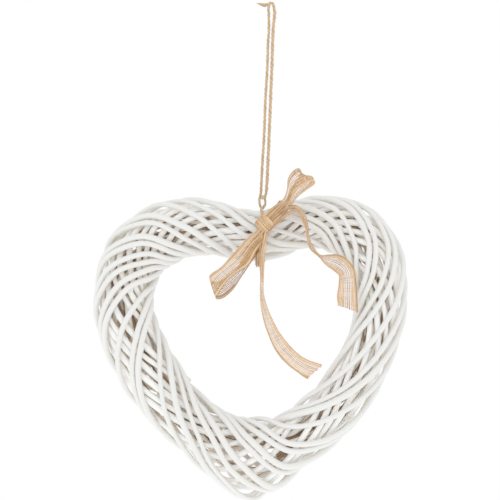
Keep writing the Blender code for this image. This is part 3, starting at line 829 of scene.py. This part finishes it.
def pull_taut(loop, closed, rounds=400):
    """Moves each point that lies inside the line between its neighbours out to that line."""
    loop = loop.copy()
    middle = np.array((0.0, 0.0, -HANG_DROP))
    for _ in range(rounds):
        chord = (np.roll(loop, 1, axis=0) + np.roll(loop, -1, axis=0)) / 2
        if not closed:
            chord[0], chord[-1] = loop[0], loop[-1]
        flat, flat_chord = (loop - middle) * (0, 1, 1), (chord - middle) * (0, 1, 1)
        inside = np.linalg.norm(flat_chord, axis=1) > np.linalg.norm(flat, axis=1)
        loop[inside] = loop[inside] * (1, 0, 0) + chord[inside] * (0, 1, 1)
    return loop


dip_samples = samples_at_the_dip()
print("samples at the dip:", len(dip_samples))

# %% [markdown]
# On top of the tie the twine forms a small eye. Its two arms run down from the strands, a bead of one ply
# wound round them holds them together, and their foot sits on the tie. The tie and its eye are bound fast,
# so they aren't a free cord.

# %% Bind the tie and its eye
TIE_SHIFT = -0.3 * MM
TIE_POINTS = 96
BUD_ROOM = 0.35 * MM
EYE_TOP = 16.5 * MM
EYE_RUN_ON = 0.5 * MM
TWINE_EYE = (
    (-0.4, 16.4),
    (-1.2, 12.9),
    (-2.0, 9.1),
    (-2.1, 5.3),
    (-1.3, 2.0),
    (0.5, 0.0),
    (2.5, 2.0),
    (3.5, 5.3),
    (3.1, 8.9),
    (3.7, 12.6),
    (4.7, 16.4),
)
EYE_KNOT = (1.8, 10.4)
EYE_COILS = (((0.25, 0.1, 1.0), 1.95, 2.6), ((-0.3, 0.15, 1.0), 1.7, 1.8))
EYE_PLY_RADIUS = 0.68 * MM


def make_tie():
    bundle = Bundle("twine_tie_round_the_dip")
    loop = []
    for angle in np.linspace(0.0, 2 * math.pi, TIE_POINTS, endpoint=False):
        stand_off = BUD_ROOM + TWINE_DIAMETER / 2
        loop.append(round_the_rods(angle, HANG_SHIFT + TIE_SHIFT, TWINE_DIAMETER / 2, stand_off))
    loop = pull_taut(np.array(loop), closed=True)
    foot_number = TIE_POINTS // 4
    opened = np.roll(loop, -foot_number, axis=0)
    line = even_line(smooth_line(np.vstack([opened, opened[:1]]), 3), PLY_STEP)
    add_plies(bundle, line, 0.8, fuzz=260)

    foot = loop[foot_number]
    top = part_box("twine_tie")[1].z - EYE_TOP
    arms = [(foot[0] + x * MM, 0.0, top + z * MM) for x, z in TWINE_EYE]
    arms = [(arms[0][0], 0.0, arms[0][2] + EYE_RUN_ON), *arms, (arms[-1][0], 0.0, arms[-1][2] + EYE_RUN_ON)]
    add_plies(bundle, even_line(smooth_line(arms, 8), PLY_STEP * 0.6), 0.2, size=0.86, fuzz=300)
    middle = np.array((foot[0] + EYE_KNOT[0] * MM, 0.0, top + EYE_KNOT[1] * MM)) / MM
    for axis, radius, turns in EYE_COILS:
        bundle.add(knot_turns(middle, axis, radius, turns, 2.8), EYE_PLY_RADIUS, sides=8, tone=0.75)
    print("the tie is", round(lengths(line)[-1] * 1000), "mm long")
    print("its eye's foot is at", np.round(foot * 1000, 1))
    tie = bundle.finish(twine_material)
    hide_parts("twine_tie")


make_tie()

# %% [markdown]
# The ribbon is jute too, but woven: fifteen flat warp threads run along it, close together at its edges and
# further apart in its middle, and thin weft threads go over and under them about every millimetre. One can
# see through it. A weave could be painted on a strip with holes in its alpha, but threads of real mesh look
# right from every side and at every size, so we weave it.
#
# The weaver takes a grid of points: a row for each weft thread and a column for each warp thread.

# %% Weave a strip of ribbon
RIBBON_WIDTH = 20 * MM
WARP_PLACES = (0.0, 2.05, 4.0, 5.7, 7.1, 8.2, 9.1, 9.8)
WARP_HALF_WIDTH = 0.54 * MM
WARP_HALF_HEIGHT = 0.15 * MM
WEFT_PITCH = 1.08 * MM
WEFT_HALF_WIDTH = 0.16 * MM
WEFT_HALF_HEIGHT = 0.10 * MM
WEFT_RISE = 0.17 * MM
WARP_WANDER = 0.16 * MM
WEFT_WANDER = 0.14 * MM

warps = np.array([-place for place in WARP_PLACES[:0:-1]] + list(WARP_PLACES)) * MM / (RIBBON_WIDTH / 2)


def slow_noise(count, every):
    """A line of numbers about nought that changes smoothly, with a new random one at every so many."""
    knots = chance.standard_normal(count // every + 3)
    return np.interp(np.arange(count) / every, np.arange(len(knots)), knots)


def weave(bundle, grid, frayed=0):
    """Warp threads along the grid's columns and weft threads across its rows. The last rows of a frayed
    end have no weft, and the warp threads end there at different lengths."""
    along = unit(np.gradient(grid, axis=0))
    over = unit(np.cross(along, np.gradient(grid, axis=1)))
    beside = np.cross(over, along)
    rows, columns = grid.shape[:2]
    for column in range(columns):
        wander = slow_noise(rows, 9)[:, None] * WARP_WANDER * beside[:, column]
        last = rows - (chance.integers(0, frayed + 1) if frayed else 0)
        picked = np.unique(np.append(np.arange(0, last, 2), last - 1))
        width = WARP_HALF_WIDTH * (0.85 + 0.3 * chance.random()) * (1.0 + 0.10 * slow_noise(rows, 4)[picked])
        line = (grid[:, column] + wander)[picked]
        bundle.add(line, width, WARP_HALF_HEIGHT, sides=6, facing=over[picked, column])
    sides = np.where(np.arange(columns) % 2, 1.0, -1.0)[:, None]
    for row in range(1, rows - frayed):
        lean = np.linspace(-0.6, 0.6, columns)
        slide = (chance.standard_normal() + lean * chance.standard_normal()) * WEFT_WANDER
        line = grid[row] + along[row] * np.reshape(slide, (-1, 1)) * np.ones((columns, 1))
        line = line + over[row] * sides * WEFT_RISE * (1 if row % 2 else -1)
        line[0] -= unit(line[1] - line[0]) * WARP_HALF_WIDTH * 0.6
        line[-1] += unit(line[-1] - line[-2]) * WARP_HALF_WIDTH * 0.6
        width = WEFT_HALF_WIDTH * (0.8 + 0.4 * chance.random())
        bundle.add(line, width, WEFT_HALF_HEIGHT, sides=4, facing=over[row])


print("warp threads:", len(warps))

# %% [markdown]
# Where the knot grips the ribbon, its 20 mm are gathered into nine or less. Cloth doesn't shrink, so it
# folds: the strip becomes a zigzag of small pleats whose length across stays the same. The gather of each
# station says how much of the width is left, and the pleats' height follows from it.

# %% Lay the strip in pleats along a route
PLEATS = 6


def pleated_grid(middle, across, gather, phase, lift=0.0, cup=0.0, wave=0.0):
    """The grid of a run of ribbon: its middle line, the direction across it and how gathered it is."""
    ahead = unit(np.gradient(middle, axis=0))
    across = unit(across)
    over = unit(np.cross(ahead, across))
    height = RIBBON_WIDTH / 2 / PLEATS * np.sqrt(1.0 - np.minimum(gather, 1.0) ** 2)
    fold = 2 / math.pi * np.arcsin(0.93 * np.sin(math.pi / 2 * (PLEATS * warps + phase)))
    rise = height[:, None] * (fold + lift) + cup * (1.0 - warps**2) - wave * np.sin(math.pi * warps)
    rise = rise + slow_noise(len(middle), 14)[:, None] * 0.35 * MM * warps**3
    sideways = warps * (RIBBON_WIDTH / 2) * gather[:, None]
    return middle[:, None] + across[:, None] * sideways[..., None] + over[:, None] * rise[..., None]


def run_grid(stations, phase, cup=0.0, wave=0.0, waved=0.5):
    """The grid of a run through stations: place in millimetres from the knot, slope, turn and gather. Its
    middle is cupped all along, and at one share of its length it waves in and out across its width."""
    line = even_line(smooth_line(stations, 12), WEFT_PITCH / MM)
    wave = wave * np.exp(-(((np.linspace(0.0, 1.0, len(line)) - waved) / 0.07) ** 2))[:, None]
    slope, turn = np.radians(line[:, 3]), np.radians(line[:, 4])
    across = np.stack([np.cos(slope) * np.cos(turn), -np.sin(turn), np.sin(slope) * np.cos(turn)], axis=1)
    return pleated_grid(np.array(knot_middle) + line[:, :3] * MM, across, line[:, 5], phase, 0.0, cup, wave)


KNOT_SHIFT = 2.9 * MM
KNOT_RISE = 9.5 * MM
KNOT_PROUD = 10 * MM
RING_DEPTH = 50 * MM
knot_middle = (HANG_SHIFT + KNOT_SHIFT, -RING_DEPTH / 2 - KNOT_PROUD, -HANG_DROP + KNOT_RISE)
print("the knot is at", [round(value, 4) for value in knot_middle])

# %% [markdown]
# The bow has two loops and two tails. Their routes are the same stations as in the construction: where the
# middle of the ribbon is, how its width slopes in the front view, how far it is turned edge-on, and how
# gathered it is.

# %% The routes of the loops and tails
UPPER_LOOP = (
    (0.6, -2.0, 5.0, -43, 0, 0.50),
    (5.0, -3.0, 11.5, -43, -15, 0.56),
    (11.0, -5.0, 16.8, -43, -30, 0.64),
    (18.3, -6.0, 24.4, -48, -60, 0.80),
    (22.8, -7.5, 34.0, -52, -66, 0.95),
    (25.8, -9.0, 42.6, -50, -50, 1.00),
    (32.6, -8.5, 48.8, -45, -32, 1.00),
    (38.4, -5.0, 51.4, -40, -28, 1.00),
    (40.4, 0.0, 48.0, -38, -34, 1.00),
    (34.6, 2.5, 42.2, -40, -46, 1.00),
    (27.0, 3.0, 33.4, -42, -62, 0.95),
    (22.8, 3.0, 25.8, -45, -64, 0.85),
    (15.5, 2.5, 17.0, -45, -52, 0.68),
    (9.0, 2.0, 11.0, -45, -35, 0.55),
    (3.0, 2.6, 6.0, -47, -10, 0.45),
)
LOWER_LOOP = (
    (-1.0, -2.0, -1.0, -46, 3, 0.45),
    (-6.5, -3.0, -7.5, -46, 5, 0.60),
    (-13.4, -5.0, -14.8, -48, 15, 0.75),
    (-22.4, -8.0, -27.2, -41, 22, 0.95),
    (-34.3, -10.0, -38.0, -41, 48, 1.00),
    (-44.6, -9.5, -47.3, -50, 36, 1.00),
    (-49.6, -4.0, -55.2, -72, 16, 1.00),
    (-43.4, 1.0, -57.2, -64, 34, 1.00),
    (-33.6, 4.0, -50.8, -43, 50, 1.00),
    (-24.8, 4.0, -41.6, -40, 61, 0.90),
    (-14.6, 2.5, -26.7, -40, 55, 0.70),
    (-6.0, 1.5, -13.5, -40, 30, 0.55),
    (-1.0, 2.4, -3.0, -44, 5, 0.45),
)
SIDE_TAIL = (
    (1.5, 0.3, 1.5, -50, 4, 0.45),
    (7.5, -1.0, 7.2, -50, 20, 0.52),
    (15.3, -3.0, 13.2, -52, 37, 0.60),
    (24.6, -3.5, 18.6, -75, 55, 0.75),
    (31.0, -3.0, 17.8, -105, 66, 0.80),
    (35.8, -2.5, 10.8, -150, 75, 0.80),
    (39.2, -2.5, 1.0, -165, 80, 0.90),
    (40.4, -2.5, -8.0, -172, 80, 0.95),
    (43.6, -2.0, -17.4, -160, 77, 1.00),
    (51.3, -1.0, -25.3, -130, 83, 1.00),
    (58.8, -0.5, -28.8, -112, 60, 1.00),
    (68.4, 2.0, -32.2, -118, 36, 1.00),
    (76.4, 4.0, -39.6, -150, 36, 1.00),
    (77.8, 6.0, -50.6, -178, 33, 1.00),
    (77.6, 7.0, -63.0, -180, 20, 1.00),
    (78.2, 7.0, -75.4, -200, 14, 1.00),
)
DOWN_TAIL = (
    (-2.0, -1.5, -2.0, 0, 0, 0.45),
    (-2.6, -3.0, -9.0, 0, 30, 0.50),
    (-3.6, -2.5, -19.0, 0, 62, 0.65),
    (-3.1, -1.0, -32.4, 0, 77, 0.80),
    (-2.9, 0.0, -44.8, 0, 81, 0.90),
    (-3.2, 1.0, -59.0, 0, 80, 1.00),
    (-1.5, 2.0, -71.5, 10, 74, 1.00),
    (2.1, 3.0, -83.8, 16, 67, 1.00),
    (7.6, 3.0, -97.3, 22, 59, 1.00),
    (15.3, 2.0, -110.9, 34, 48, 1.00),
    (25.9, 0.0, -122.6, 50, 44, 1.00),
    (36.7, -2.0, -130.0, 54, 38, 1.00),
    (47.4, -4.0, -134.6, 42, 14, 1.00),
)
run_grids = {
    "upper loop": run_grid(UPPER_LOOP, 0.3, 0.5 * MM, 2.6 * MM, 0.52),
    "lower loop": run_grid(LOWER_LOOP, 1.1, 0.6 * MM),
    "side tail": run_grid(SIDE_TAIL, 0.7, 0.4 * MM),
    "down tail": run_grid(DOWN_TAIL, 1.6, 0.8 * MM),
}
for name, grid in run_grids.items():
    print(name, "is", round(lengths(grid[:, len(warps) // 2])[-1] * 1000), "mm long")

# %% [markdown]
# From under the knot the ribbon goes down behind the ring and over its top into the knot again. It is
# squeezed narrow where it leaves the knot and spreads out at the back. Its knot is one turn of the ribbon
# round the root of the loops, across their direction, fatter in its middle than at its edges.

# %% The band round the ring and the turn of the knot
BAND = (
    (14, 1.0, 4.0, 9.5),
    (-8, -2.0, 3.4, 5.5),
    (-20, -4.6, 2.6, 4.3),
    (-30, -4.8, 2.3, 1.5),
    (-50, -4.3, 2.1, 0.3),
    (-100, -4.1, 2.0, 0.2),
    (-106, -4.1, 2.0, 2.5),
    (-112, -4.1, 2.0, 4.3),
    (-150, 1.5, 6.0, 4.3),
    (-175, 5.5, 8.0, 4.3),
    (-200, 9.5, 8.0, 4.3),
    (-215, 11.5, 7.0, 2.0),
    (-230, 13.5, 6.0, 0.4),
    (-255, 17.5, 2.8, 0.4),
    (-272, 18.5, 1.6, 0.4),
    (-290, 16.0, 1.6, 0.6),
    (-310, 12.0, 1.8, 3.0),
    (-325, 8.5, 3.0, 8.0),
    (-336, 5.0, 4.0, 12.0),
)
BAND_STEP = 4.0
KNOT_SLOPE = 43.0
KNOT_TURN_SHIFT = -0.6 * MM
KNOT_TURN_RISE = 5.0 * MM
KNOT_HALF_WIDTH = 6.6 * MM
KNOT_HALF_HEIGHT = 8.0 * MM
KNOT_HALF_DEPTH = 4.8 * MM
KNOT_BARREL = 0.16


def band_grid():
    plan = np.array(BAND)[::-1]
    places, halves = [], []
    for angle in np.linspace(BAND[0][0], BAND[-1][0], round((BAND[0][0] - BAND[-1][0]) / BAND_STEP) + 1):
        shift, half, stand_off = (np.interp(angle, plan[:, 0], column) * MM for column in plan.T[1:])
        places.append(round_the_rods(math.radians(angle), HANG_SHIFT + shift, half, BUD_ROOM + stand_off))
        halves.append(half)
    places = pull_taut(np.array(places), closed=False)
    line = even_line(smooth_line(np.column_stack([places, halves]), 4), WEFT_PITCH)
    across = np.tile((1.0, 0.0, 0.0), (len(line), 1))
    return pleated_grid(line[:, :3], across, line[:, 3] / (RIBBON_WIDTH / 2), 0.5, lift=1.0)


def knot_grid():
    slope = math.radians(KNOT_SLOPE)
    across = np.array((math.cos(slope), 0.0, math.sin(slope)))
    upward = np.array((-math.sin(slope), 0.0, math.cos(slope)))
    front = np.array((0.0, -1.0, 0.0))
    around = 2 * math.pi * math.hypot(KNOT_HALF_HEIGHT, KNOT_HALF_DEPTH) / math.sqrt(2)
    turn = np.linspace(math.pi, 3 * math.pi + 0.2, round(around / WEFT_PITCH))
    barrel = 1.0 - KNOT_BARREL * warps**2
    high = upward * (KNOT_HALF_HEIGHT * np.sin(turn)[:, None] * barrel)[..., None]
    deep = front * (KNOT_HALF_DEPTH * np.cos(turn)[:, None] * barrel)[..., None]
    middle = np.array(knot_middle) + (KNOT_TURN_SHIFT, 0.0, KNOT_TURN_RISE)
    return middle + high + deep + across * (KNOT_HALF_WIDTH * warps)[:, None]


run_grids["band"] = band_grid()
run_grids["knot"] = knot_grid()
print("weft threads:", sum(len(grid) for grid in run_grids.values()))

# %% [markdown]
# The ribbon's jute is paler and more golden than the twine's. The whole ribbon is one sheet of cloth, so it
# is one piece.

# %% Weave the ribbon
RIBBON_DARK = (0.31, 0.15, 0.052, 1.0)
RIBBON_MIDDLE = (0.63, 0.345, 0.145, 1.0)
RIBBON_PALE = (0.81, 0.555, 0.31, 1.0)
FRAYED_ROWS = 1

ribbon_material = jute_finish("jute_ribbon_fibres", RIBBON_DARK, RIBBON_MIDDLE, RIBBON_PALE, 0.8, 0.75)


def make_ribbon():
    bundle = Bundle("jute_ribbon")
    for name, grid in run_grids.items():
        weave(bundle, grid, FRAYED_ROWS if name.endswith("tail") else 0)
    ribbon = bundle.finish(ribbon_material)
    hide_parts("jute_ribbon_bow")
    long = sum(lengths(grid[:, len(warps) // 2])[-1] for grid in run_grids.values())
    print("the ribbon is", round(long * 1000), "mm long and has", len(ribbon.data.polygons), "faces")


make_ribbon()

# %% [markdown]
# The heart was photographed on plain white with light from all round. A white world does most of it. A wide
# soft light in front, high on the left, gives the rods their faint roundness. The floor is far below, where
# the floor of a room would be, and as pale as the world.

# %% Light and floor
WORLD_LIGHT = 0.93
GAMMA = 1.55
KEY_WATTS = 4.5
KEY_PLACE = (-1.1, -1.8, 0.9)
KEY_SIZE = 1.2
AIM_BELOW_DIP = 0.11
FLOOR_DROP = 2.0
FLOOR_SIZE = 12.0


def make_floor():
    finish = Finish("pale_floor", Roughness=0.9, Specular_IOR_Level=0.0, Emission_Strength=0.4)
    finish.surface(Base_Color=(0.9, 0.9, 0.9, 1.0), Emission_Color=(1.0, 1.0, 1.0, 1.0))
    bpy.ops.mesh.primitive_plane_add(size=FLOOR_SIZE, location=(0.0, 0.0, -FLOOR_DROP))
    floor = bpy.context.object
    floor.name = "floor"
    floor.data.materials.append(finish.material)
    floor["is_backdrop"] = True


def soft_light(name, place, aim, size, watts):
    light = bpy.data.objects.new(name, bpy.data.lights.new(name, "AREA"))
    light.data.shape = "DISK"
    light.data.size = size
    light.data.energy = watts
    light.location = place
    light.rotation_euler = (Vector(aim) - Vector(place)).to_track_quat("-Z", "Y").to_euler()
    bpy.context.scene.collection.objects.link(light)


def white_studio(seen, light):
    """A white world whose light on the heart is weaker than the white that the camera sees behind it."""
    world = bpy.data.worlds.new("white_studio")
    world.use_nodes = True
    nodes = world.node_tree.nodes
    links = world.node_tree.links
    background = nodes["Background"]
    background.inputs["Color"].default_value = (1.0, 1.0, 1.0, 1.0)
    rays = nodes.new("ShaderNodeLightPath")
    strength = nodes.new("ShaderNodeMapRange")
    strength.inputs["To Min"].default_value = light
    strength.inputs["To Max"].default_value = seen
    links.new(rays.outputs["Is Camera Ray"], strength.inputs["Value"])
    links.new(strength.outputs["Result"], background.inputs["Strength"])
    return world


bpy.context.scene.world = white_studio(1.0, WORLD_LIGHT)
bpy.context.scene.view_settings.view_transform = "Standard"
bpy.context.scene.view_settings.gamma = GAMMA
make_floor()
heart_middle = (HANG_SHIFT, 0.0, -HANG_DROP - AIM_BELOW_DIP)
soft_light("key_light", KEY_PLACE, heart_middle, KEY_SIZE, KEY_WATTS)

# %% Print how far the dressed heart reaches past the frame
dressed_box = [list(corner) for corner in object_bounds()]
growth = np.array(dressed_box) - np.array(frame_box)
print("the dressed heart reaches past the frame by, in mm:", np.round(growth * 1000, 1).tolist())
